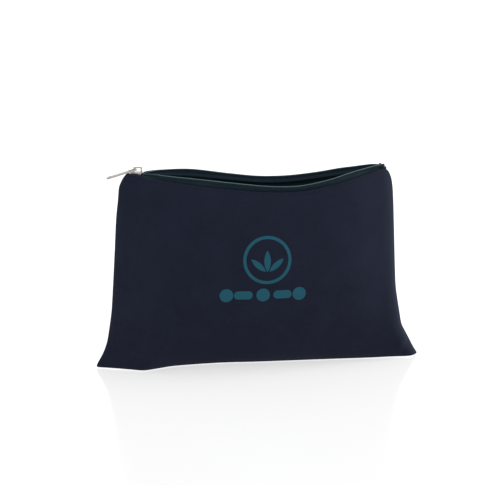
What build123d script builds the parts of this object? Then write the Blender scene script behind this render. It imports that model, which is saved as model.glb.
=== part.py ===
from build123d import *
import math
import os

os.makedirs("parts", exist_ok=True)

# A flat canvas pencil case with a coil zip, standing open on its bottom seam.
# X runs along the zip, the printed side faces -Y, Z is up.
# The origin is under the middle of the pouch, on the surface that it stands on.

# Pouch
pouch_width = 268.0  # between the tips of the two bottom corners
mouth_width = 224.0  # between the side seams at the mouth
zip_height = 160.0  # top edge of the zip tape at the open end of the mouth
mouth_lift = 3.0  # how much higher that edge is at the closed end
mouth_sag = 10.0  # how much lower that edge hangs in the middle
body_depth = 72.0  # front to back, at the fullest height
mouth_depth = 53.0  # front to back, at the mouth
canvas = 1.2  # turned edge of the canvas, two plies
seam_width = 3.0  # thickness of the bottom seam that the case stands on
seam_height = 3.0  # from the surface below to the floor of the pouch
tip_allowance = 2.6  # extra cloth in the side seams

# Zip
tape = 0.6  # thickness of the woven tape
tape_rise = 5.5  # tape that shows above the canvas
tape_tuck = 9.0  # tape sewn down behind the canvas
tape_end = 6.0  # gap from each end of the mouth to the end of the tapes
coil_height = 2.4
coil_depth = 1.2
stop_length = 2.0
stop_wall = 0.5

# Binding tape over the cut edges inside, and the sewing thread
binding_width = 9.0
binding_thickness = 2.2
binding_end = 27.0  # gap from the bottom corner to the end of the bottom binding
binding_foot = 34.0  # height where the side bindings begin
binding_head = 16.0  # gap from the zip's top edge to the end of the side bindings
thread = 0.35
stitch_length = 2.3
stitch_pitch = 3.2
stitch_inset = 2.6  # from the turned edge down to the stitch line

# Slider, at the open end of the zip
slider_gap = 12.0  # from the open end of the mouth to the middle of the slider
slider_length = 9.0
slider_nose = 6.8  # width at the closed side
slider_tail = 8.4  # width at the open side
plate = 1.0
running_gap = 0.25  # between the slider and the chain
chain_drop = 1.0  # from the zip's top edge to the middle of the tape inside the slider
chain_width = 7.6
chain_coil_width = 3.6
chain_coil_depth = 1.3
flange = 0.8
bridge_width = 2.2
bridge_wall = 1.0
bridge_length = 7.0
pin_radius = 0.65
pin_height = 2.1  # pull tab's axis above the slider's top plate
pin_play = 0.35
tab_length = 24.5
tab_width = 5.4
tab_thickness = 1.2
tab_arm = 1.1
tab_droop = 16.0  # degrees below level, pointing past the end of the zip
tab_hole = 2.2

half_width = pouch_width / 2
half_mouth = mouth_width / 2
lean = half_width - half_mouth
slider_x = slider_gap - half_mouth
chain_z = zip_height - chain_drop
far = 150.0  # reach of the construction solids beyond the pouch

# Stations along the pouch, as shares of its half width, and how far
# the bottom seam waves towards the back there.
stations = [-1.0, -0.93, -0.8, -0.6, -0.3, 0.0, 0.3, 0.6, 0.8, 0.93, 1.0]
seam_wave = [7.0, 3.0, -5.0, -1.5, 5.0, 3.5, 1.5, -1.5, -4.0, -3.0, 2.0]
levels = [0.0, 0.05, 0.11, 0.19, 0.3, 0.45, 0.62, 0.8, 0.94, 1.07]
fullest = 0.55  # height share where the pouch is fullest


def half_width_at(share):
    """Half the pouch's width; it narrows fast above the corners, then slowly."""
    return half_width - lean * (0.52 * (1 - math.exp(-share / 0.1)) + 0.48 * share)


def half_depth_at(share):
    """Half the pouch's depth, from the seam through the fullest height to the mouth."""
    if share < fullest:
        bulge = math.sin(math.pi / 2 * (share / fullest) ** 0.9)
        return seam_width / 2 + (body_depth - seam_width) / 2 * bulge
    rise = (share - fullest) / (1 - fullest)
    return body_depth / 2 - (body_depth - mouth_depth) / 2 * rise**1.6


def wave_at(share):
    """Share of the bottom seam's wave that is left at a height."""
    return max(0.0, 1 - share) ** 3


def section_points(share, inset, side):
    """Points of one side of the pouch's outline at a height, moved in by inset."""
    width = half_width_at(share)
    tip = width - (inset + (tip_allowance if inset > 0 else 0))
    depth = half_depth_at(share) - inset
    roundness = 0.8 - 0.2 * share
    points = []
    for station, wave in zip(stations, seam_wave):
        x = width * station
        if abs(station) == 1:
            last = stations.index(station)
            beside = last + 1 if station < 0 else last - 1
            part = (tip / width - abs(stations[beside])) / (1 - abs(stations[beside]))
            wave = seam_wave[beside] + (wave - seam_wave[beside]) * part
            x = tip * station
        swell = (1 - abs(x / tip) ** 2.4) ** roundness
        points.append((x, wave * wave_at(share) + side * depth * swell))
    return points


def heights(inset):
    """Height shares of the sections; the inside starts at the pouch's floor."""
    if inset > 0:
        return [seam_height / zip_height] + levels[1:]
    return levels


def envelope(inset):
    """Closed body inside the pouch's outer face by inset."""
    with BuildPart() as body:
        for share in heights(inset):
            with BuildSketch(Plane.XY.offset(share * zip_height)):
                with BuildLine():
                    Spline(*section_points(share, inset, -1))
                    Spline(*section_points(share, inset, 1))
                make_face()
        loft()
    return body.part


def front_region():
    """Everything in front of the surface through both side seams."""
    with BuildPart() as region:
        for share in levels:
            spine = [Vector(x, y) for x, y in section_points(share, 0.0, 0)]
            left = Vector(-half_width - far, spine[0].Y)
            right = Vector(half_width + far, spine[-1].Y)
            with BuildSketch(Plane.XY.offset(share * zip_height)):
                with BuildLine():
                    Line(left, spine[0])
                    Spline(*spine)
                    Line(spine[-1], right)
                    Polyline(right, (right.X, -far), (left.X, -far), left)
                make_face()
        loft(ruled=True)
    return region.part


def level_height(share):
    """Height of the mouth's edge before it sags, along the mouth from -1 to 1."""
    return zip_height + mouth_lift * (share + 1) / 2


def below_edge(drop):
    """Everything lower than the mouth's edge line moved down by drop."""
    line = [
        (-1.6, -24.0),
        (-1.0, -6.5),
        (-0.92, -1.0),
        (-0.78, 0.0),
        (-0.4, -0.66 * mouth_sag),
        (0.04, -mouth_sag),
        (0.42, -0.66 * mouth_sag),
        (0.78, 0.0),
        (0.92, -1.0),
        (1.0, -6.5),
        (1.6, -24.0),
    ]
    points = [(share * half_mouth, level_height(share) + rise - drop) for share, rise in line]
    with BuildPart() as region:
        with BuildSketch(Plane.XZ):
            with BuildLine():
                Spline(*points)
                Polyline(points[-1], (points[-1][0], -far), (points[0][0], -far), points[0])
            make_face()
        extrude(amount=far, both=True)
    return region.part


def edge_height(x):
    """Height of the mouth's edge at x, close to the curve of below_edge."""
    across = min(1.0, abs(x / half_mouth - 0.02) / 0.8)
    return level_height(x / half_mouth) - mouth_sag * math.cos(math.pi / 2 * across) ** 1.5


def cut_shell(outer, inner, region, keep_front):
    """Wall between two envelopes, in front of or behind the side seams."""
    with BuildPart() as wall:
        add(outer)
        add(inner, mode=Mode.SUBTRACT)
        add(region, mode=Mode.INTERSECT if keep_front else Mode.SUBTRACT)
    return wall.part


def between_ends(wall, upper, lower):
    """Band of a wall between two edge lines, short of the mouth's ends."""
    with BuildPart() as band:
        add(wall)
        add(upper, mode=Mode.INTERSECT)
        add(lower, mode=Mode.SUBTRACT)
        Box(2 * (half_mouth - tape_end), far, 2 * far, mode=Mode.INTERSECT,
            align=(Align.CENTER, Align.CENTER, Align.MIN))
    return band.part


def finish(piece, name):
    """Label a finished piece and write it to its own file."""
    piece.label = name
    export_step(piece, f"parts/{name}.step")


outside = envelope(0.0)
inside = envelope(canvas)
tape_inside = envelope(canvas + tape)
thread_outside = envelope(-thread)
clip_outside = envelope(-stop_wall)
clip_inside = envelope(canvas + tape + stop_wall)
front_half = front_region()
edge = below_edge(0.0)
fold_line = below_edge(tape_rise)
tape_foot = below_edge(tape_rise + tape_tuck)
coil_foot = below_edge(coil_height)
sides = {"front": True, "back": False}

# Canvas panels, sewn together along the sides and the bottom
for side, keep_front in sides.items():
    with BuildPart() as panel:
        add(cut_shell(outside, inside, front_half, keep_front))
        add(fold_line, mode=Mode.INTERSECT)
    finish(panel.part, f"{side}_panel")

# Zip tapes behind the turned edges, with the coils along their top edges
tapes = {}
coils = {}
coil_outside = envelope(canvas - coil_depth)
for side, keep_front in sides.items():
    tape_wall = cut_shell(inside, tape_inside, front_half, keep_front)
    coil_wall = cut_shell(coil_outside, inside, front_half, keep_front)
    tapes[side] = between_ends(tape_wall, edge, tape_foot)
    coils[side] = between_ends(coil_wall, edge, coil_foot)
    finish(tapes[side], f"{side}_zip_tape")
    finish(coils[side], f"{side}_zip_coil")

# Clips that stop the slider at the closed end, one bent over each coil
stop_x = half_mouth - tape_end - stop_length
clip_top = below_edge(-stop_wall)
clip_foot = below_edge(coil_height + stop_wall)
for side, keep_front in sides.items():
    with BuildPart() as top_stop:
        with Locations((stop_x, 0, zip_height)):
            Box(stop_length, body_depth, 4 * tape_rise)
        add(clip_outside, mode=Mode.INTERSECT)
        add(clip_inside, mode=Mode.SUBTRACT)
        add(front_half, mode=Mode.INTERSECT if keep_front else Mode.SUBTRACT)
        add(clip_top, mode=Mode.INTERSECT)
        add(clip_foot, mode=Mode.SUBTRACT)
        add(tapes[side], mode=Mode.SUBTRACT)
        add(coils[side], mode=Mode.SUBTRACT)
    finish(top_stop.part, f"{side}_top_stop")

# Stitches that hold each panel's turned edge to its tape
stitch_span = 2 * (half_mouth - 2 * tape_end)
stitch_count = int(stitch_span / stitch_pitch)
stitch_line = tape_rise + stitch_inset
stitch_xs = [(i - stitch_count / 2) * stitch_pitch for i in range(stitch_count + 1)]
for side, keep_front in sides.items():
    with BuildPart() as topstitch:
        for x in stitch_xs:
            with Locations((x, 0, edge_height(x) - stitch_line)):
                Box(stitch_length, body_depth, thread * 1.6,
                    align=(Align.CENTER, Align.MAX if keep_front else Align.MIN, Align.CENTER))
        add(thread_outside, mode=Mode.INTERSECT)
        add(outside, mode=Mode.SUBTRACT)
    finish(topstitch.part, f"{side}_topstitch")

# Binding over the bottom seam's cut edges, standing up from the pouch's floor
spine = [(s * half_width, wave * wave_at(0.04)) for s, wave in zip(stations, seam_wave)
         if abs(s) * half_width < half_width - binding_end + 1]
with BuildPart() as bottom_seam_binding:
    with BuildSketch(Plane.XY.offset(seam_height)):
        with BuildLine():
            Spline(*[(x, y - binding_thickness / 2) for x, y in spine])
            Spline(*[(x, y + binding_thickness / 2) for x, y in spine])
            Line((spine[0][0], spine[0][1] - binding_thickness / 2),
                 (spine[0][0], spine[0][1] + binding_thickness / 2))
            Line((spine[-1][0], spine[-1][1] - binding_thickness / 2),
                 (spine[-1][0], spine[-1][1] + binding_thickness / 2))
        make_face()
    extrude(amount=binding_width)
    add(inside, mode=Mode.INTERSECT)
finish(bottom_seam_binding.part, "bottom_seam_binding")

# Bindings down the side seams, each nested into the corner between the panels
binding_top = zip_height - binding_head
side_shares = [binding_foot / zip_height + i * (binding_top - binding_foot) / zip_height / 4
               for i in range(5)]
for side, sign in (("left", -1), ("right", 1)):
    outer = [(sign * (half_width_at(s) + 4), s * zip_height) for s in side_shares]
    inner = [(sign * (half_width_at(s) - binding_width - 4), s * zip_height) for s in side_shares]
    with BuildPart() as side_binding:
        with BuildSketch(Plane.XZ):
            with BuildLine():
                Spline(*outer)
                Line(outer[-1], inner[-1])
                Spline(*reversed(inner))
                Line(inner[0], outer[0])
            make_face()
        extrude(amount=binding_thickness / 2, both=True)
        add(inside, mode=Mode.INTERSECT)
    finish(side_binding.part, f"{side}_seam_binding")

# Metal clip that stops the slider at the open end, its legs driven through the tape
stop_gap = 0.5
stop_right = slider_x - slider_length / 2 - stop_gap
with BuildPart() as bottom_stop:
    with Locations((stop_right, 0, chain_z - tape / 2)):
        Box(stop_length, chain_coil_width + 2 * stop_wall, tape + chain_coil_depth + stop_wall,
            align=(Align.MAX, Align.CENTER, Align.MIN))
        Box(stop_length, chain_coil_width + 2 * stop_wall, stop_wall,
            align=(Align.MAX, Align.CENTER, Align.MAX))
        Box(stop_length, chain_coil_width, tape + chain_coil_depth,
            align=(Align.MAX, Align.CENTER, Align.MIN), mode=Mode.SUBTRACT)
finish(bottom_stop.part, "bottom_stop")

# Short closed length of chain that the slider rests on, its end turned down into the seam
chain_left = stop_right - stop_length - tape
chain_right = slider_x + 0.5
with BuildPart() as closed_chain:
    with BuildSketch(Plane.YZ.offset(chain_left)):
        with Locations((0, chain_z)):
            Rectangle(chain_width, tape)
        with Locations((0, chain_z + tape / 2)):
            Rectangle(chain_coil_width, chain_coil_depth, align=(Align.CENTER, Align.MIN))
    extrude(amount=chain_right - chain_left)
    with Locations((chain_left, 0, chain_z + tape / 2)):
        Box(tape, 2 * tape, chain_z + tape / 2 - binding_top,
            align=(Align.MIN, Align.CENTER, Align.MAX))
    add(bottom_stop.part, mode=Mode.SUBTRACT)
finish(closed_chain.part, "closed_chain")

# Slider: two plates joined by a wedge, with flanges that hold the coil
lower_top = chain_z - tape / 2 - running_gap
upper_bottom = chain_z + tape / 2 + chain_coil_depth + running_gap
slot_top = chain_z + tape / 2 + running_gap
plan = [
    (-slider_length / 2, -slider_nose / 2),
    (slider_length / 2 - 2.5, -slider_tail / 2),
    (slider_length / 2, -slider_tail / 2 + 1.2),
    (slider_length / 2, slider_tail / 2 - 1.2),
    (slider_length / 2 - 2.5, slider_tail / 2),
    (-slider_length / 2, slider_nose / 2),
]


def slider_plate(bottom):
    """One plate of the slider, with its corners rounded."""
    with BuildPart() as piece:
        with BuildSketch(Plane.XY.offset(bottom)) as outline:
            with Locations((slider_x, 0)):
                Polygon(*plan, align=None)
            fillet(outline.vertices(), 0.8)
        extrude(amount=plate)
        fillet(piece.edges().group_by(Axis.Z)[-1], 0.25)
    return piece.part


with BuildPart() as slider_body:
    add(slider_plate(lower_top - plate))
    add(slider_plate(upper_bottom))
    with BuildSketch(Plane.XY.offset(lower_top - plate / 2)):
        with Locations((slider_x, 0)):
            Polygon((1.2, 0), (3.6, -1.3), (slider_length / 2, -0.9), (slider_length / 2, 0.9),
                    (3.6, 1.3), align=None)
    extrude(amount=upper_bottom - lower_top + plate)
    for sign in (-1, 1):
        edge_offset = sign * flange / 2
        with BuildSketch(Plane.XY.offset(slot_top)):
            with Locations((slider_x, 0)):
                Polygon(
                    (-slider_length / 2 + 0.6, sign * slider_nose / 2 - edge_offset * 2),
                    (slider_length / 2 - 2.6, sign * slider_tail / 2 - edge_offset * 2),
                    (slider_length / 2 - 2.6, sign * slider_tail / 2 - edge_offset * 0.2),
                    (-slider_length / 2 + 0.6, sign * slider_nose / 2 - edge_offset * 0.2),
                    align=None,
                )
        extrude(amount=upper_bottom - slot_top + plate / 2)
finish(slider_body.part, "slider_body")

# Bridge on the slider's top plate, around the pull tab's cross pin
bridge_foot = upper_bottom + plate
bridge_rise = pin_height + pin_radius + pin_play + bridge_wall
with BuildPart() as slider_bridge:
    with BuildSketch(Plane.XZ):
        with Locations((slider_x, bridge_foot)):
            Rectangle(bridge_length, bridge_rise, align=(Align.CENTER, Align.MIN))
            Rectangle(bridge_length - 2.2 * bridge_wall, bridge_rise - bridge_wall,
                      align=(Align.CENTER, Align.MIN), mode=Mode.SUBTRACT)
    extrude(amount=bridge_width / 2, both=True)
    fillet(slider_bridge.edges().filter_by(Axis.Y).group_by(Axis.Z)[-1], 0.9)
finish(slider_bridge.part, "slider_bridge")

# Pull tab, hung from a cross pin under the bridge and drooping past the zip's end
pin_x = slider_x - bridge_length / 2 + 1.1 * bridge_wall + pin_radius + pin_play
pin_z = bridge_foot + pin_height
sweep_corner = math.hypot(slider_x + bridge_length / 2 - pin_x, bridge_rise - pin_height)
window_end = sweep_corner + 2 * pin_play
tab_plane = Plane(
    origin=(pin_x, 0, pin_z),
    x_dir=(-math.cos(math.radians(tab_droop)), 0, -math.sin(math.radians(tab_droop))),
    z_dir=(-math.sin(math.radians(tab_droop)), 0, math.cos(math.radians(tab_droop))),
)
with BuildPart() as pull_tab:
    with BuildSketch(tab_plane.offset(-tab_thickness / 2)) as tab_outline:
        Rectangle(tab_length, tab_width, align=(Align.MIN, Align.CENTER))
        fillet(tab_outline.vertices().sort_by(SortBy.DISTANCE)[-2:], tab_width / 2 - 0.3)
        with Locations((tab_length - tab_width / 2, 0)):
            Circle(tab_hole / 2, mode=Mode.SUBTRACT)
        Rectangle(window_end, tab_width - 2 * tab_arm, align=(Align.MIN, Align.CENTER),
                  mode=Mode.SUBTRACT)
    extrude(amount=tab_thickness)
    with Locations(Plane(origin=(pin_x, 0, pin_z), z_dir=(0, 1, 0))):
        Cylinder(pin_radius, tab_width)
finish(pull_tab.part, "pull_tab")
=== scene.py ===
import math
from bisect import bisect_left
import bmesh
import bpy
from mathutils import Matrix, Vector
from mathutils.bvhtree import BVHTree


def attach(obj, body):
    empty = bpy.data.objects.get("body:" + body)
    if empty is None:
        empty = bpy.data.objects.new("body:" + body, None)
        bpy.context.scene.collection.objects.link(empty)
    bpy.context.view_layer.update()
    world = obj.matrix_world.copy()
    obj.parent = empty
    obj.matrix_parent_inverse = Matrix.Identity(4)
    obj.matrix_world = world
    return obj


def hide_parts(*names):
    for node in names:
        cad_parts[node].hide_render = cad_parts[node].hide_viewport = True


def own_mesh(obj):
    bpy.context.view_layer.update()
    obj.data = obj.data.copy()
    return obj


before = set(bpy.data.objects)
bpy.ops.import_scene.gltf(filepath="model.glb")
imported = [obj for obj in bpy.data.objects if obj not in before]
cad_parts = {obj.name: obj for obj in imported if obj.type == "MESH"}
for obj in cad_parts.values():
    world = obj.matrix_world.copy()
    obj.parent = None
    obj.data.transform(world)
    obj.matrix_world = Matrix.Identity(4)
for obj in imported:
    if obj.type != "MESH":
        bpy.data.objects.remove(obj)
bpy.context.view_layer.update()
mm = 0.001
scene = bpy.context.scene

# The seams and the mouth of the pouch, in millimetres
pouch = {
    "bottomSeam": [(-135, 9.3, 0.6), (-124, 3.6, 0.8), (-110.6, -2.6, 0.8), (-103.4, -6.6, 0.8),
                   (-98, -8.8, 0.8), (-91.2, -6.7, 0.8), (-81.6, -2.6, 0.8), (-69.9, 1.2, 0.8),
                   (-34.1, 4.1, 0.8), (0, 1.6, 0.8), (58.6, -1.2, 0.8), (90.7, -3.3, 0.8),
                   (113, -3.7, 0.8), (124.9, -5, 0.8), (130, -3, 0.8), (135, 3.6, 0.6)],
    "leftSeam": [(-135, 9.3, 0.6), (-133.9, 8, 4.2), (-131.5, 7, 8.5), (-128.4, 6, 15),
                 (-127, 5.6, 19.2), (-125.4, 5, 25), (-122.7, 3, 43.6), (-121.4, 2.4, 57.6),
                 (-118.8, 1, 98.9), (-117.4, 0.4, 123.5), (-115.6, 0, 140), (-115, 0, 148.2),
                 (-114.1, 0, 151.4), (-112.3, 0, 154.9), (-109.8, 0, 158.4)],
    "rightSeam": [(135, 3.6, 0.6), (130.6, 1.6, 7), (127, 1.2, 13.8), (123.3, 1, 20.6), (120.3, 1, 26),
                  (119.3, 1, 29), (118.1, 0.8, 36), (115.7, 0.7, 49.5), (113.7, 0.5, 65),
                  (111.8, 0, 107.4), (110.8, 0, 132.6), (109.9, 0, 145.1), (108.6, 0, 152),
                  (107.2, 0, 155.2), (105.7, 0, 157.6)],
    # x, distance from the middle, height at the front, height at the back
    "turnedEdge": [(-108, 2.6, 160.4, 160.4), (-105, 4.6, 161, 161), (-101, 5.7, 160.8, 160.8),
                   (-96, 7.2, 158.9, 159.4), (-87.7, 12, 157.2, 158.2), (-79.5, 15.8, 156, 157.2),
                   (-54.8, 22.5, 152.4, 154.6), (-22, 26, 148.9, 150.2), (3, 27, 146.6, 147.2),
                   (27, 26.5, 146.5, 146.8), (51, 24, 149.7, 149.4), (70, 19.2, 153.6, 152.6),
                   (80, 15.2, 155.8, 154.6), (94.6, 8.6, 159.1, 158.2), (101.5, 4, 159.8, 159.4)],
    "zipEdge": [(-95.6, 1.5, 159.8, 159.8), (-92, 3.8, 160.7, 160.8), (-86, 9, 160.9, 161.3),
                (-79, 13.8, 160.3, 161.3), (-54, 21, 158, 160.2), (-22, 25.3, 154.2, 155.2),
                (3, 26.3, 151.5, 152.1), (27, 25.8, 151.2, 151.9), (51, 23.2, 155, 154.4),
                (69, 18.4, 159.2, 157.8), (80, 14.2, 161.2, 159.6), (94, 7.4, 163.1, 162.1),
                (100.5, 3.6, 162.9, 162.1), (103.3, 2, 161.6, 161.2), (104.9, 1, 159.8, 159.6)],
}
# How the canvas is cut and how it behaves
cloth = {
    "across": 84, "up": 48, "thickness": 0.9, "bulge": 22, "spareWide": 1.01, "spareTall": 1.02,
    "pressure": 1.1, "bending": 8, "stretch": 80, "shear": 0.3, "damping": 10, "air": 2.0,
    "mass": 0.15, "quality": 6, "frames": 40,
    "flapAlong": 24, "flapUp": 28,
}


def smoothLine(points, steps=16):  # a smooth route through the points, with the length up to each step
    way = [Vector(p) * mm for p in points]
    ends = [way[0] * 2 - way[1]] + way + [way[-1] * 2 - way[-2]]
    dense = []
    for before, start, stop, after in zip(ends, ends[1:], ends[2:], ends[3:]):
        for i in range(steps):
            t = i / steps
            bend = (before * 2 - start * 5 + stop * 4 - after) * t**2
            twist = (start * 3 - before - stop * 3 + after) * t**3
            dense.append((start * 2 + (stop - before) * t + bend + twist) / 2)
    dense.append(way[-1])
    marks = [0.0]
    for a, b in zip(dense, dense[1:]):
        marks.append(marks[-1] + (b - a).length)
    return dense, marks


def along(line, share):  # the point at a share of the route's length
    dense, marks = line
    reach = min(max(share, 0), 1) * marks[-1]
    i = bisect_left(marks, reach, 1, len(marks) - 1)
    return dense[i - 1].lerp(dense[i], (reach - marks[i - 1]) / (marks[i] - marks[i - 1]))


def newPiece(name, bm, smooth=True):  # a mesh object from a bmesh, at the origin
    mesh = bpy.data.meshes.new(name)
    bm.to_mesh(mesh)
    bm.free()
    piece = bpy.data.objects.new(name, mesh)
    scene.collection.objects.link(piece)
    for face in mesh.polygons:
        face.use_smooth = smooth
    return piece


def thicken(piece, thickness, offset=0.0):  # a wall with softened edges; offset 1 is all on the outside
    shell = piece.modifiers.new("thickness", "SOLIDIFY")
    shell.thickness, shell.offset, shell.use_even_offset = thickness * mm, offset, True
    fine = piece.modifiers.new("smooth", "SUBSURF")
    fine.levels = fine.render_levels = 1
    return shell


def standOff(piece, side, depth):  # keeps a piece on the cloth's outer face when the pouch flattens
    for vert in piece.data.vertices:
        vert.co.y -= side * depth * mm
    lift = piece.modifiers.new("lift", "DISPLACE")
    lift.direction, lift.mid_level, lift.strength = "Y", 0, side * depth * mm


def sideRim(side, key):  # the front or back line of a table, -1 is the front
    return [(x, side * deep, front if side < 0 else back) for x, deep, front, back in pouch[key]]


bottomLine = smoothLine(pouch["bottomSeam"])
leftLine = smoothLine(pouch["leftSeam"])
rightLine = smoothLine(pouch["rightSeam"])
edgeLines = {s: smoothLine([pouch["leftSeam"][-1]] + sideRim(s, "turnedEdge") + [pouch["rightSeam"][-1]])
             for s in (-1, 1)}
zipLines = {s: smoothLine(sideRim(s, "zipEdge")) for s in (-1, 1)}
panelTall = (leftLine[1][-1] + rightLine[1][-1]) / 2


def betweenSeams(u, v, top):  # a surface stretched between the four edges
    low, high = along(bottomLine, u), along(top, u)
    left, right = along(leftLine, v), along(rightLine, v)
    corners = (along(bottomLine, 0) * (1 - u) * (1 - v) + along(bottomLine, 1) * u * (1 - v)
               + along(top, 0) * (1 - u) * v + along(top, 1) * u * v)
    return low * (1 - v) + high * v + left * (1 - u) + right * u - corners


def inFlap(u, v):  # the flat corner below each ear's crease
    wide = bottomLine[1][-1] / mm
    tall = leftLine[1][-1] / mm
    nearest = min(u, 1 - u) * wide / cloth["flapAlong"] + v * tall / cloth["flapUp"]
    return nearest < 1


def bulgeAt(u, v):
    if inFlap(u, v):
        return 0.0
    rounding = math.sin(math.pi * u) ** 0.6 * math.sin(math.pi * v) ** 0.8
    return cloth["bulge"] * mm * rounding * (1.15 - 0.5 * v)


def sewPanel(name, side):
    bm = bmesh.new()
    bmesh.ops.create_grid(bm, x_segments=cloth["across"], y_segments=cloth["up"], size=0.5)
    places = bm.loops.layers.uv.new("cut")
    wide = (bottomLine[1][-1], edgeLines[side][1][-1])
    tall = panelTall * cloth["spareTall"]
    pins, flat = [], []
    for vert in bm.verts:
        u, v = vert.co.x + 0.5, vert.co.y + 0.5
        cutX = (u - 0.5) * (wide[0] * (1 - v) + wide[1] * v) * cloth["spareWide"]
        flat.append(Vector((cutX, 0, v * tall)))
        if min(u, 1 - u, v, 1 - v) < 1e-4 or inFlap(u, v):
            pins.append(vert.index)
        vert.co = betweenSeams(u, v, edgeLines[side]) + Vector((0, side * bulgeAt(u, v), 0))
    for face in bm.faces:
        for loop in face.loops:
            loop[places].uv = flat[loop.vert.index].x, flat[loop.vert.index].z
    if side > 0:
        bmesh.ops.reverse_faces(bm, faces=bm.faces)
    panel = newPiece(name, bm)
    return panel, pins, flat


def addCloth(panel, pins, flat):
    panel.shape_key_add(name="sewn")
    cut = panel.shape_key_add(name="cut")
    for i, place in enumerate(flat):
        cut.data[i].co = place
    cut.value = 0
    group = panel.vertex_groups.new(name="sewn")
    group.add(pins, 1.0, "REPLACE")
    fabric = panel.modifiers.new("cloth", "CLOTH")
    rules = fabric.settings
    rules.quality, rules.mass, rules.air_damping = cloth["quality"], cloth["mass"], cloth["air"]
    rules.tension_stiffness = rules.compression_stiffness = cloth["stretch"]
    rules.shear_stiffness, rules.bending_stiffness = cloth["stretch"] * cloth["shear"], cloth["bending"]
    rules.tension_damping = rules.compression_damping = rules.shear_damping = cloth["damping"]
    rules.vertex_group_mass, rules.rest_shape_key = "sewn", cut
    rules.use_pressure, rules.uniform_pressure_force = True, cloth["pressure"]
    rules.effector_weights.gravity = 0
    fabric.collision_settings.use_collision = False
    fabric.point_cache.frame_start, fabric.point_cache.frame_end = 1, cloth["frames"] + 1


def settle(panels):  # run the cloth and keep its last frame
    scene.frame_start, scene.frame_end = 1, cloth["frames"] + 1
    for step in range(1, cloth["frames"] + 1):
        scene.frame_set(step)
    graph = bpy.context.evaluated_depsgraph_get()
    for panel in panels:
        settled = [v.co.copy() for v in panel.evaluated_get(graph).data.vertices]
        panel.modifiers.clear()
        panel.shape_key_clear()
        for vert, place in zip(panel.data.vertices, settled):
            vert.co = place
        panel.data.update()
    scene.frame_set(1)


panels = {}
for side, name in ((-1, "frontPanel"), (1, "backPanel")):
    panel, pins, flat = sewPanel(name, side)
    panels[side] = panel
    addCloth(panel, pins, flat)
settle(list(panels.values()))
print("panels sewn and settled")

grids = {side: [v.co.copy() for v in panel.data.vertices] for side, panel in panels.items()}


def onPanel(side, u, v):  # a place on the settled cloth
    x, y = min(max(u, 0), 1) * cloth["across"], min(max(v, 0), 1) * cloth["up"]
    i, j = min(int(x), cloth["across"] - 1), min(int(y), cloth["up"] - 1)
    rowLength = cloth["across"] + 1
    below, above = j * rowLength + i, (j + 1) * rowLength + i
    low = grids[side][below].lerp(grids[side][below + 1], x - i)
    high = grids[side][above].lerp(grids[side][above + 1], x - i)
    return low.lerp(high, y - j)


def outward(side, u, v, step=0.012):  # away from the inside of the pouch
    right = onPanel(side, u + step, v) - onPanel(side, u - step, v)
    up = onPanel(side, u, v + step) - onPanel(side, u, v - step)
    return (right.cross(up) * -side).normalized()


def shareAtX(line, x):  # share of a route's length where it passes x
    dense, marks = line
    i = bisect_left([p.x for p in dense], x, 1, len(dense) - 1)
    part = (x - dense[i - 1].x) / max(dense[i].x - dense[i - 1].x, 1e-9)
    return (marks[i - 1] + (marks[i] - marks[i - 1]) * min(max(part, 0), 1)) / marks[-1]


for panel in panels.values():
    shell = thicken(panel, cloth["thickness"], offset=1)
    shell.use_quality_normals = True
    shell.edge_crease_inner = 1  # the two panels meet along the seams without a slit

zipParts = {
    "tape": 0.45, "tuck": 9, "across": 160, "up": 16, "behind": 0.12, "fold": 0.375, "crease": 1.1,
    "pitch": 1.45, "wire": 0.28, "coilWide": 0.85, "coilHigh": 0.45, "coilDrop": 1.55, "turnPoints": 10,
    "stopAt": 0.972, "stop": (2.0, 3.6, 2.6), "stopRound": 0.6,
    "chainStart": -95.0, "chainEnd": -109.0, "chainBend": -106.4, "chainFlat": 4.3, "chainLevel": 159.0,
    "chainCoilEnd": -104.2, "chainCoilWide": 1.5, "chainCoilHigh": 0.4,
}


def zipFrame(side, share):  # place, run, way down the tape and way out of it
    line = zipLines[side]
    place = along(line, share)
    run = (along(line, share + 0.004) - along(line, share - 0.004)).normalized()
    u = shareAtX(edgeLines[side], place.x)
    down = onPanel(side, u, 1) + outward(side, u, 0.97) * -0.35 * mm - place
    down = (down - run * down.dot(run)).normalized()
    return place, run, down, run.cross(down) * side


def makeTape(name, side):
    bm = bmesh.new()
    bmesh.ops.create_grid(bm, x_segments=zipParts["across"], y_segments=zipParts["up"], size=0.5)
    weave = bm.loops.layers.uv.new("cut")
    cut = {}
    for vert in bm.verts:
        share, depth = vert.co.x + 0.5, 0.5 - vert.co.y
        place, run, down, out = zipFrame(side, share)
        u = shareAtX(edgeLines[side], place.x)
        rise = (onPanel(side, u, 1) - place).length
        cut[vert.index] = share * zipLines[side][1][-1], depth * (rise + zipParts["tuck"] * mm)
        crease = zipParts["crease"] * math.exp(-((depth - zipParts["fold"]) / 0.1) ** 2)  # under the fold
        behind = (zipParts["tape"] / 2 + zipParts["behind"] + crease) * mm
        if depth < zipParts["fold"]:
            flush = place.lerp(onPanel(side, u, 1), depth / zipParts["fold"])
            vert.co = flush - outward(side, u, 0.97) * behind * depth / zipParts["fold"]
        else:
            hidden = (depth - zipParts["fold"]) / (1 - zipParts["fold"]) * zipParts["tuck"] * mm
            v = 1 - hidden / panelTall
            vert.co = onPanel(side, u, v) - outward(side, u, v) * behind
    for face in bm.faces:
        for loop in face.loops:
            loop[weave].uv = cut[loop.vert.index]
    if side > 0:
        bmesh.ops.reverse_faces(bm, faces=bm.faces)
    piece = newPiece(name, bm)
    thicken(piece, zipParts["tape"])
    return piece


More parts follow.
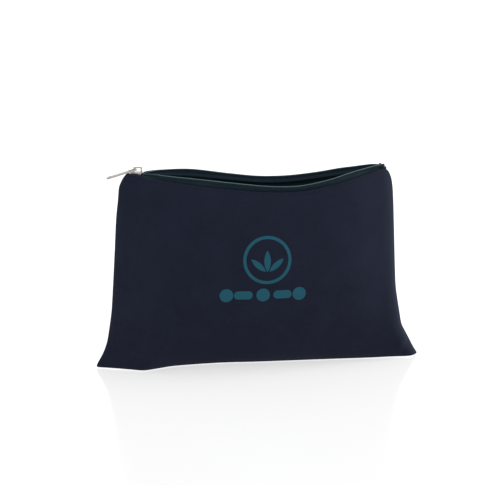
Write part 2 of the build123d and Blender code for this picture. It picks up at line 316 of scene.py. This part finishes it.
def tubeMesh(name, route, radius, sides=1):  # a round wire through the points
    curve = bpy.data.curves.new(name + "Route", "CURVE")
    curve.dimensions, curve.bevel_depth, curve.bevel_resolution = "3D", radius, sides
    curve.use_fill_caps = True
    spline = curve.splines.new("POLY")
    spline.points.add(len(route) - 1)
    for point, place in zip(spline.points, route):
        point.co = place.x, place.y, place.z, 1
    holder = bpy.data.objects.new(name + "Route", curve)
    scene.collection.objects.link(holder)
    graph = bpy.context.evaluated_depsgraph_get()
    mesh = bpy.data.meshes.new_from_object(holder.evaluated_get(graph))
    bpy.data.objects.remove(holder)
    piece = bpy.data.objects.new(name, mesh)
    scene.collection.objects.link(piece)
    for face in mesh.polygons:
        face.use_smooth = True
    return piece


def makeCoil(name, side):
    length = zipLines[side][1][-1]
    turns = int(length / (zipParts["pitch"] * mm)) - 1
    high = (zipParts["tape"] / 2 + zipParts["wire"] + zipParts["coilHigh"]) * mm
    route = []
    for k in range(turns * zipParts["turnPoints"] + 1):
        angle = 2 * math.pi * k / zipParts["turnPoints"]
        share = (k / zipParts["turnPoints"] + 0.5) * zipParts["pitch"] * mm / length
        place, run, down, out = zipFrame(side, share)
        swing = zipParts["coilDrop"] - zipParts["coilWide"] * math.cos(angle)
        lift = high + zipParts["coilHigh"] * mm * math.sin(angle)
        route.append(place + down * swing * mm + out * lift)
    return tubeMesh(name, route, zipParts["wire"] * mm)


def makeClosedChain(name):  # flat inside the slider, rising to the turned edges beside it
    bm = bmesh.new()
    bmesh.ops.create_grid(bm, x_segments=24, y_segments=16, size=0.5)
    weave = bm.loops.layers.uv.new("cut")
    start, stop = zipParts["chainStart"], zipParts["chainEnd"]
    for vert in bm.verts:
        x = start + (stop - start) * (vert.co.x + 0.5)
        side = -1 if vert.co.y < 0 else 1
        reach = abs(vert.co.y) * 2
        u = shareAtX(edgeLines[side], x * mm)
        edge = onPanel(side, u, 1) - outward(side, u, 0.97) * 0.5 * mm
        level = zipParts["chainLevel"] - 0.9 * max(0, zipParts["chainBend"] - x) ** 2
        half = abs(edge.y) / mm
        y, flat = half * reach, zipParts["chainFlat"]
        rise = min(max((y - flat) / max(half - flat, 0.3), 0), 1) ** 2
        height = level + (min(edge.z / mm - 0.6, level + 2) - level) * rise
        vert.co = x * mm, side * y * mm, height * mm
    for face in bm.faces:
        for loop in face.loops:
            loop[weave].uv = loop.vert.co.x, loop.vert.co.y + 20 * mm  # away from the painted highlight on a tape's top edge
    bmesh.ops.reverse_faces(bm, faces=bm.faces)
    piece = newPiece(name, bm)
    thicken(piece, zipParts["tape"])
    return piece


def makeChainCoil(name):  # both coils, meshed, on the closed length
    route = []
    start, stop = zipParts["chainStart"], zipParts["chainCoilEnd"]
    turns = int((start - stop) / zipParts["pitch"] * 2)
    wide, lift = zipParts["chainCoilWide"], zipParts["chainCoilHigh"]
    high = zipParts["chainLevel"] + zipParts["tape"] / 2 + zipParts["wire"] + lift
    for k in range(turns * zipParts["turnPoints"] + 1):
        angle = 2 * math.pi * k / zipParts["turnPoints"]
        x = start - k / zipParts["turnPoints"] * zipParts["pitch"] / 2
        route.append(Vector((x, wide * math.cos(angle), high + lift * math.sin(angle))) * mm)
    return tubeMesh(name, route, zipParts["wire"] * mm)


def makeTopClip(name, side):  # a moulded stop over the end of the coil
    bm = bmesh.new()
    place, run, down, out = zipFrame(side, zipParts["stopAt"])
    turn = Matrix((run, down, out)).transposed().to_4x4()
    centre = place + down * 1.2 * mm + out * 0.65 * mm
    size = Matrix.Diagonal((*(measure * mm for measure in zipParts["stop"]), 1))
    bmesh.ops.create_cube(bm, size=1, matrix=Matrix.Translation(centre) @ turn @ size)
    bmesh.ops.recalc_face_normals(bm, faces=bm.faces)
    bmesh.ops.bevel(bm, geom=bm.edges[:], offset=zipParts["stopRound"] * mm, segments=4, profile=0.5,
                    material=-1, affect="EDGES")
    return newPiece(name, bm)


tapes = {s: makeTape(n, s) for s, n in ((-1, "frontZipTape"), (1, "backZipTape"))}
coils = {s: makeCoil(n, s) for s, n in ((-1, "frontZipCoil"), (1, "backZipCoil"))}
clips = {s: makeTopClip(n, s) for s, n in ((-1, "frontTopClip"), (1, "backTopClip"))}
closedChain = makeClosedChain("closedChainTape")
chainCoil = makeChainCoil("closedChainCoil")
print("zip tapes, coils and closed chain made")

# Bindings inside; start and span are shares of the seam's length
binding = {"inset": 3.5, "width": 9, "thickness": 1.8, "along": 48, "sideStart": 0.24, "sideSpan": 0.66,
           "footStart": 0.13, "footSpan": 0.74}


def makeBinding(name, seam, start, span, inward):  # a folded strip along a seam, inside the pouch
    bm = bmesh.new()
    bmesh.ops.create_grid(bm, x_segments=binding["along"], y_segments=4, size=0.5)
    weave = bm.loops.layers.uv.new("cut")
    cut = {}
    for vert in bm.verts:
        share, reach = vert.co.x + 0.5, (vert.co.y + 0.5) * binding["width"]
        cut[vert.index] = share * 0.2, reach * mm
        vert.co = along(seam, start + span * share) + inward * (binding["inset"] + reach) * mm
    for face in bm.faces:
        for loop in face.loops:
            loop[weave].uv = cut[loop.vert.index]
    piece = newPiece(name, bm)
    thicken(piece, binding["thickness"])
    return piece


sideShares = binding["sideStart"], binding["sideSpan"]
footShares = binding["footStart"], binding["footSpan"]
bindings = [
    makeBinding("leftSeamBinding", leftLine, *sideShares, Vector((1, 0, 0))),
    makeBinding("rightSeamBinding", rightLine, *sideShares, Vector((-1, 0, 0))),
    makeBinding("bottomSeamBinding", bottomLine, *footShares, Vector((0, 0, 1))),
]

# The row of stitches under each turned edge
stitching = {"pitch": 3.2, "length": 2.4, "thread": 0.32, "inset": 2.6, "ends": 7}


def makeTopstitch(name, side):  # one small bead of thread for each stitch
    bm = bmesh.new()
    length = edgeLines[side][1][-1] / mm
    count = int((length - 2 * stitching["ends"]) / stitching["pitch"])
    v = 1 - stitching["inset"] * mm / panelTall
    for k in range(count + 1):
        u = (stitching["ends"] + k * stitching["pitch"]) / length
        out = outward(side, u, v)
        run = (onPanel(side, u + 0.004, v) - onPanel(side, u - 0.004, v)).normalized()
        place = onPanel(side, u, v) + out * cloth["thickness"] * 1.02 * mm
        turn = Matrix((run, out.cross(run), out)).transposed().to_4x4()
        half = stitching["length"] / 2, stitching["thread"] * 0.6, stitching["thread"] / 2
        where = Matrix.Translation(place) @ turn @ Matrix.Diagonal((*half, 1))
        bmesh.ops.create_icosphere(bm, subdivisions=1, radius=mm, matrix=where)
    piece = newPiece(name, bm)
    standOff(piece, side, cloth["thickness"])
    return piece


topstitches = {s: makeTopstitch(n, s) for s, n in ((-1, "frontTopstitch"), (1, "backTopstitch"))}
print("bindings and stitches made")

# The printed mark: a ring round a three-leaved sprig, over a row of dots and bars
mark = {"x": -1.5, "z": 93.5, "ring": 19.5, "ringWidth": 2.6, "leaf": 12.5, "rowZ": 65.0, "rowHeight": 11.0,
        "row": [(-34, 5), (-20.5, 15), (-4.7, 5), (11, 15), (24.8, 5)],  # x, length: short ones are dots
        "film": 0.06, "grain": 1.6}


def flatDisc(bm, x, z, radius, steps=64):  # drawn flat, laid on the cloth afterwards
    return bmesh.ops.create_circle(bm, cap_ends=True, radius=radius, segments=steps,
                                   matrix=Matrix.Translation((x, z, 0)))["verts"]


def makeMark(name):
    bm = bmesh.new()
    outer = flatDisc(bm, mark["x"], mark["z"], mark["ring"])
    face = outer[0].link_faces[0]
    bmesh.ops.inset_individual(bm, faces=[face], thickness=mark["ringWidth"], use_even_offset=True)
    bmesh.ops.delete(bm, geom=[face], context="FACES")
    for lean in (-48, 0, 48):  # leaves that meet at the sprig's foot
        leaf = flatDisc(bm, 0, 0, 1, steps=28)
        bmesh.ops.scale(bm, vec=(0.3, 1, 1), verts=leaf)
        for vert in leaf:
            vert.co.x *= 1 - 0.75 * abs(vert.co.y) ** 3
        bmesh.ops.scale(bm, vec=[mark["leaf"] * (0.62 if lean else 0.7)] * 3, verts=leaf)
        bmesh.ops.translate(bm, vec=(0, mark["leaf"] * 0.78, 0), verts=leaf)
        tilt = Matrix.Rotation(math.radians(-lean), 3, "Z")
        bmesh.ops.rotate(bm, cent=(0, 0, 0), matrix=tilt, verts=leaf)
        bmesh.ops.translate(bm, vec=(mark["x"], mark["z"] - mark["leaf"] * 0.85, 0), verts=leaf)
    for x, length in mark["row"]:
        isBar = length > 8
        radius = mark["rowHeight"] / 2 - (2 if isBar else 0)
        bar = flatDisc(bm, 0, 0, radius, steps=32)
        for vert in bar:
            vert.co.x += math.copysign(max(0, length / 2 - radius), vert.co.x) if isBar else 0
        bmesh.ops.translate(bm, vec=(x, mark["rowZ"], 0), verts=bar)
    bmesh.ops.triangulate(bm, faces=[f for f in bm.faces if len(f.verts) > 4])
    for _ in range(3):
        long = [e for e in bm.edges if e.calc_length() > mark["grain"] * 1.5]
        bmesh.ops.subdivide_edges(bm, edges=long, cuts=1)
    bmesh.ops.triangulate(bm, faces=bm.faces)
    skin = BVHTree.FromObject(panels[-1], bpy.context.evaluated_depsgraph_get())
    for vert in bm.verts:
        x, z = vert.co.x * mm, vert.co.y * mm
        hit = skin.ray_cast(Vector((x, -0.2, z)), Vector((0, 1, 0)))
        vert.co = hit[0] + Vector((0, -mark["film"] * mm, 0))
    bmesh.ops.recalc_face_normals(bm, faces=bm.faces)
    if sum(f.normal.y for f in bm.faces) > 0:
        bmesh.ops.reverse_faces(bm, faces=bm.faces)
    piece = newPiece(name, bm)
    standOff(piece, -1, cloth["thickness"] + mark["film"])
    return piece


printedMark = makeMark("printedMark")
print("printed mark made")


def shaderTree(name, colour, roughness, metallic=0.0):
    material = bpy.data.materials.new(name)
    material.use_nodes = True
    tree = material.node_tree
    surface = tree.nodes["Principled BSDF"]
    surface.inputs["Base Color"].default_value = (*colour, 1)
    surface.inputs["Roughness"].default_value = roughness
    surface.inputs["Metallic"].default_value = metallic
    return material, tree, surface


def maths(tree, operation, a, b=None, clamp=False):
    node = tree.nodes.new("ShaderNodeMath")
    node.operation, node.use_clamp = operation, clamp
    for socket, value in zip(node.inputs, (a, b)):
        if value is None:
            continue
        if isinstance(value, (int, float)):
            socket.default_value = value
        else:
            tree.links.new(value, socket)
    return node.outputs[0]


def noise(tree, vector, scale, detail=2.0, rough=0.5, stretch=None):
    if stretch:
        mapping = tree.nodes.new("ShaderNodeMapping")
        mapping.inputs["Scale"].default_value = stretch
        tree.links.new(vector, mapping.inputs["Vector"])
        vector = mapping.outputs[0]
    node = tree.nodes.new("ShaderNodeTexNoise")
    node.inputs["Scale"].default_value = scale
    node.inputs["Detail"].default_value = detail
    node.inputs["Roughness"].default_value = rough
    tree.links.new(vector, node.inputs["Vector"])
    return node.outputs["Fac"]


def spread(tree, value, low, high, toLow=0.0, toHigh=1.0):
    node = tree.nodes.new("ShaderNodeMapRange")
    for socket, number in zip(node.inputs[1:5], (low, high, toLow, toHigh)):
        socket.default_value = number
    tree.links.new(value, node.inputs[0])
    return node.outputs[0]


def mixColours(tree, share, dark, light):
    node = tree.nodes.new("ShaderNodeMix")
    node.data_type = "RGBA"
    tree.links.new(share, node.inputs["Factor"])
    for socket, colour in ((node.inputs["A"], dark), (node.inputs["B"], light)):
        if isinstance(colour, tuple):
            socket.default_value = (*colour, 1)
        else:
            tree.links.new(colour, socket)
    return node.outputs["Result"]


def bump(tree, height, distance, strength, surface, before=None):
    node = tree.nodes.new("ShaderNodeBump")
    node.inputs["Distance"].default_value = distance
    node.inputs["Strength"].default_value = strength
    tree.links.new(height, node.inputs["Height"])
    if before:
        tree.links.new(before, node.inputs["Normal"])
    tree.links.new(node.outputs[0], surface.inputs["Normal"])
    return node.outputs[0]


def weaveHeight(tree, vector, pitchX, pitchY):  # threads over and under each other
    split = tree.nodes.new("ShaderNodeSeparateXYZ")
    tree.links.new(vector, split.inputs[0])
    warp = maths(tree, "SINE", maths(tree, "MULTIPLY", split.outputs[0], math.pi / pitchX))
    weft = maths(tree, "SINE", maths(tree, "MULTIPLY", split.outputs[1], math.pi / pitchY))
    over = maths(tree, "MULTIPLY", warp, weft)
    ridge = maths(tree, "SUBTRACT", maths(tree, "ABSOLUTE", warp), maths(tree, "ABSOLUTE", weft))
    lean = maths(tree, "MULTIPLY", over, ridge)
    fill = maths(tree, "MULTIPLY", maths(tree, "ABSOLUTE", warp), maths(tree, "ABSOLUTE", weft))
    return maths(tree, "ADD", maths(tree, "MULTIPLY", fill, 0.7), maths(tree, "MULTIPLY", lean, 0.6))


canvas = {
    "dark": (0.0050, 0.0065, 0.0132), "light": (0.0140, 0.0172, 0.0325), "roughness": 0.92, "gloss": 0.06,
    "thread": 0.62, "relief": 0.16, "mottle": 38, "slub": 0.35,
    "sheen": 0.05, "sheenTint": (0.42, 0.46, 0.62),
}


def wovenMaterial(name, colours):
    material, tree, surface = shaderTree(name, colours["dark"], colours["roughness"])
    place = tree.nodes.new("ShaderNodeUVMap")
    place.uv_map = "cut"
    spot = tree.nodes.new("ShaderNodeTexCoord").outputs["Object"]
    pitch = colours["thread"]
    threads = weaveHeight(tree, place.outputs[0], pitch * mm, pitch * 1.08 * mm)
    slubs = noise(tree, place.outputs[0], 1, 3, 0.6, stretch=(90, 1500, 1))
    slubsUp = noise(tree, place.outputs[0], 1, 3, 0.6, stretch=(1500, 90, 1))
    patches = noise(tree, spot, colours["mottle"], 4, 0.6)
    fibres = noise(tree, spot, 2600, 2, 0.7)
    tone = maths(tree, "MULTIPLY", threads, 0.38)
    bothSlubs = maths(tree, "ADD", slubs, slubsUp)
    tone = maths(tree, "ADD", tone, maths(tree, "MULTIPLY", bothSlubs, colours["slub"]))
    tone = maths(tree, "ADD", tone, maths(tree, "MULTIPLY", patches, 0.35))
    tone = maths(tree, "ADD", tone, maths(tree, "MULTIPLY", fibres, 0.2))
    tone = spread(tree, tone, 0.35, 1.05)
    woven = mixColours(tree, tone, colours["dark"], colours["light"])
    if "paintedHighlight" in colours:  # a painted highlight along the tape's top edge, where it catches the light
        split = tree.nodes.new("ShaderNodeSeparateXYZ")
        tree.links.new(place.outputs[0], split.inputs[0])
        edge = spread(tree, split.outputs[1], 0.3 * mm, 0.9 * mm, 1, 0)
        woven = mixColours(tree, edge, woven, colours["paintedHighlight"])
    tree.links.new(woven, surface.inputs["Base Color"])
    smooth, rough = colours["roughness"] - 0.08, colours["roughness"] + 0.06
    tree.links.new(spread(tree, fibres, 0.3, 0.7, smooth, rough), surface.inputs["Roughness"])
    surface.inputs["Sheen Weight"].default_value = colours["sheen"]
    surface.inputs["Sheen Roughness"].default_value = 0.45
    surface.inputs["Sheen Tint"].default_value = (*colours["sheenTint"], 1)
    surface.inputs["Specular IOR Level"].default_value = colours["gloss"]
    height = maths(tree, "ADD", threads, maths(tree, "MULTIPLY", slubs, 0.6))
    fine = bump(tree, height, colours["relief"] * mm, 0.7, surface)
    bump(tree, noise(tree, spot, 26, 3, 0.5), 1.6 * mm, 0.16, surface, before=fine)
    return material


tapeColours = {
    "dark": (0.004, 0.011, 0.017), "light": (0.012, 0.026, 0.038), "roughness": 0.75, "gloss": 0.12,
    "thread": 0.5, "relief": 0.1, "mottle": 120, "sheen": 0.08, "sheenTint": (0.4, 0.6, 0.7), "slub": 0.2,
    # painted highlight colour for the tape's top edge
    "paintedHighlight": (0.075, 0.125, 0.14),
}
bindingColours = {
    "dark": (0.012, 0.017, 0.024), "light": (0.03, 0.038, 0.05), "roughness": 0.8, "gloss": 0.15,
    "thread": 0.55, "relief": 0.1, "mottle": 90, "sheen": 0.2, "sheenTint": (0.5, 0.55, 0.6), "slub": 0.2,
}
canvasCloth = wovenMaterial("canvasCloth", canvas)
tapeCloth = wovenMaterial("tapeCloth", tapeColours)
bindingCloth = wovenMaterial("bindingCloth", bindingColours)


def threadMaterial(name, dark, light):
    material, tree, surface = shaderTree(name, dark, 0.65)
    spot = tree.nodes.new("ShaderNodeTexCoord").outputs["Object"]
    twist = tree.nodes.new("ShaderNodeTexWave")
    twist.bands_direction = "DIAGONAL"
    twist.inputs["Scale"].default_value = 900
    tree.links.new(spot, twist.inputs["Vector"])
    tree.links.new(mixColours(tree, twist.outputs["Fac"], dark, light), surface.inputs["Base Color"])
    bump(tree, twist.outputs["Fac"], 0.05 * mm, 0.6, surface)
    surface.inputs["Sheen Weight"].default_value = 0.02
    surface.inputs["Specular IOR Level"].default_value = 0.06
    return material


def nylonMaterial(name, dark, light):
    material, tree, surface = shaderTree(name, dark, 0.45)
    spot = tree.nodes.new("ShaderNodeTexCoord").outputs["Object"]
    cloudy = noise(tree, spot, 700, 3, 0.6)
    cloud = spread(tree, cloudy, 0.35, 0.65)
    tree.links.new(mixColours(tree, cloud, dark, light), surface.inputs["Base Color"])
    tree.links.new(spread(tree, cloudy, 0.3, 0.7, 0.36, 0.54), surface.inputs["Roughness"])
    bump(tree, noise(tree, spot, 2400, 2, 0.6), 0.02 * mm, 0.4, surface)
    surface.inputs["Specular IOR Level"].default_value = 0.14
    return material


def nickelMaterial(name, dark, light):
    material, tree, surface = shaderTree(name, light, 0.24, 1.0)
    spot = tree.nodes.new("ShaderNodeTexCoord").outputs["Object"]
    haze = noise(tree, spot, 420, 4, 0.6)
    brush = noise(tree, spot, 1, 3, 0.7, stretch=(300, 4200, 4200))
    tree.links.new(mixColours(tree, haze, dark, light), surface.inputs["Base Color"])
    dull = maths(tree, "ADD", haze, brush)
    tree.links.new(spread(tree, dull, 0.6, 1.4, 0.16, 0.38), surface.inputs["Roughness"])
    bump(tree, brush, 0.015 * mm, 0.5, surface)
    return material


def inkMaterial(name, dark, light):
    material, tree, surface = shaderTree(name, dark, 0.62)
    spot = tree.nodes.new("ShaderNodeTexCoord").outputs["Object"]
    turned = tree.nodes.new("ShaderNodeMapping")
    turned.inputs["Rotation"].default_value = (math.radians(90), 0, 0)
    tree.links.new(spot, turned.inputs["Vector"])
    threads = weaveHeight(tree, turned.outputs[0], canvas["thread"] * mm, canvas["thread"] * 1.08 * mm)
    worn = noise(tree, spot, 900, 4, 0.7)
    tone = maths(tree, "ADD", maths(tree, "MULTIPLY", threads, 0.5), maths(tree, "MULTIPLY", worn, 0.6))
    printed = mixColours(tree, spread(tree, tone, 0.2, 0.8), dark, light)
    tree.links.new(printed, surface.inputs["Base Color"])
    tree.links.new(spread(tree, worn, 0.3, 0.7, 0.52, 0.74), surface.inputs["Roughness"])
    bump(tree, threads, 0.12 * mm, 0.6, surface)
    surface.inputs["Specular IOR Level"].default_value = 0.15
    return material


sewingThread = threadMaterial("sewingThread", (0.004, 0.0052, 0.0105), (0.010, 0.0125, 0.0235))
coilNylon = nylonMaterial("coilNylon", (0.004, 0.011, 0.016), (0.010, 0.024, 0.032))
nickel = nickelMaterial("nickelPlate", (0.27, 0.25, 0.225), (0.46, 0.435, 0.40))
ink = inkMaterial("printInk", (0.004, 0.052, 0.078), (0.010, 0.088, 0.128))
print("materials made")


def dress(piece, material, body="pouch", nodes=()):
    piece.data.materials.clear()
    piece.data.materials.append(material)
    if nodes:
        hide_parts(*nodes)
    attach(piece, body)


dress(panels[-1], canvasCloth, nodes=["front_panel"])
dress(panels[1], canvasCloth, nodes=["back_panel"])
dress(tapes[-1], tapeCloth, nodes=["front_zip_tape"])
dress(tapes[1], tapeCloth, nodes=["back_zip_tape"])
dress(coils[-1], coilNylon, nodes=["front_zip_coil"])
dress(coils[1], coilNylon, nodes=["back_zip_coil"])
dress(closedChain, tapeCloth, nodes=["closed_chain"])
dress(chainCoil, coilNylon, nodes=["closed_chain"])
dress(clips[-1], coilNylon, nodes=["front_top_stop"])
dress(clips[1], coilNylon, nodes=["back_top_stop"])
dress(topstitches[-1], sewingThread, nodes=["front_topstitch"])
dress(topstitches[1], sewingThread, nodes=["back_topstitch"])
for piece, node in zip(bindings, ("left_seam_binding", "right_seam_binding", "bottom_seam_binding")):
    dress(piece, bindingCloth, nodes=[node])
dress(printedMark, ink)
for node in ("slider_body", "slider_bridge", "pull_tab", "bottom_stop"):
    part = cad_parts[node]
    part.data.materials.clear()
    part.data.materials.append(nickel)

soft = [*panels.values(), *tapes.values(), *coils.values(), *clips.values(), *topstitches.values(),
        *bindings, printedMark]
for piece in soft:
    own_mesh(piece)
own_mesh(closedChain)

print("pieces ride on the pouch")

studio = {
    "camera": (-258.2, -1308.5, 359.0), "heading": 10.79, "pitch": 10.95, "lens": 120.0,
    "floor": 24.0, "worldBack": 1.05, "worldFront": 0.68, "keyPower": 2, "sidePower": 14, "topPower": 8,
    "floorColour": (0.3, 0.3, 0.3), "floorRoughness": 0.14, "floorGlow": 0.62,
}


def addCamera():
    data = bpy.data.cameras.new("camera")
    data.lens, data.sensor_width = studio["lens"], 36
    data.clip_start, data.clip_end = 0.05, 50
    camera = bpy.data.objects.new("camera", data)
    camera.location = Vector(studio["camera"]) * mm
    camera.rotation_euler = math.radians(90 - studio["pitch"]), 0, math.radians(-studio["heading"])
    scene.collection.objects.link(camera)
    scene.camera = camera


def addSoftbox(name, place, aim, size, power):
    data = bpy.data.lights.new(name, "AREA")
    data.shape, data.size, data.size_y, data.energy = "RECTANGLE", size[0], size[1], power
    lamp = bpy.data.objects.new(name, data)
    lamp.location = place
    lamp.rotation_euler = (Vector(aim) - Vector(place)).to_track_quat("-Z", "Y").to_euler()
    scene.collection.objects.link(lamp)


def addFloor():
    bm = bmesh.new()
    bmesh.ops.create_grid(bm, x_segments=1, y_segments=1, size=studio["floor"] / 2)
    floor = newPiece("studioFloor", bm, smooth=False)
    material, tree, surface = shaderTree("studioFloorPaint", studio["floorColour"], studio["floorRoughness"])
    surface.inputs["Emission Color"].default_value = (1, 1, 1, 1)
    surface.inputs["Emission Strength"].default_value = studio["floorGlow"]
    floor.data.materials.append(material)


addCamera()
addFloor()
addSoftbox("keyBox", (-0.9, -1.0, 1.1), (0, 0, 0.08), (1.0, 1.0), studio["keyPower"])
addSoftbox("sideBox", (1.3, 0.08, 0.45), (0, 0, 0.06), (0.5, 0.9), studio["sidePower"])
addSoftbox("topBox", (0.0, -0.5, 1.6), (0, -0.1, 0), (1.8, 1.4), studio["topPower"])


def addWorld():  # bright above and behind the case, darker in front of it
    world = bpy.data.worlds.new("studioWorld")
    scene.world = world
    world.use_nodes = True
    tree = world.node_tree
    split = tree.nodes.new("ShaderNodeSeparateXYZ")
    tree.links.new(tree.nodes.new("ShaderNodeTexCoord").outputs["Generated"], split.inputs[0])
    lift = maths(tree, "MAXIMUM", maths(tree, "ADD", split.outputs[1], 0.35), split.outputs[2])
    share = spread(tree, lift, -0.3, 0.45, studio["worldFront"], studio["worldBack"])
    tree.links.new(share, tree.nodes["Background"].inputs["Strength"])
    tree.nodes["Background"].inputs["Color"].default_value = (1, 1, 1, 1)


addWorld()
scene.view_settings.view_transform = "Standard"
print("studio made")
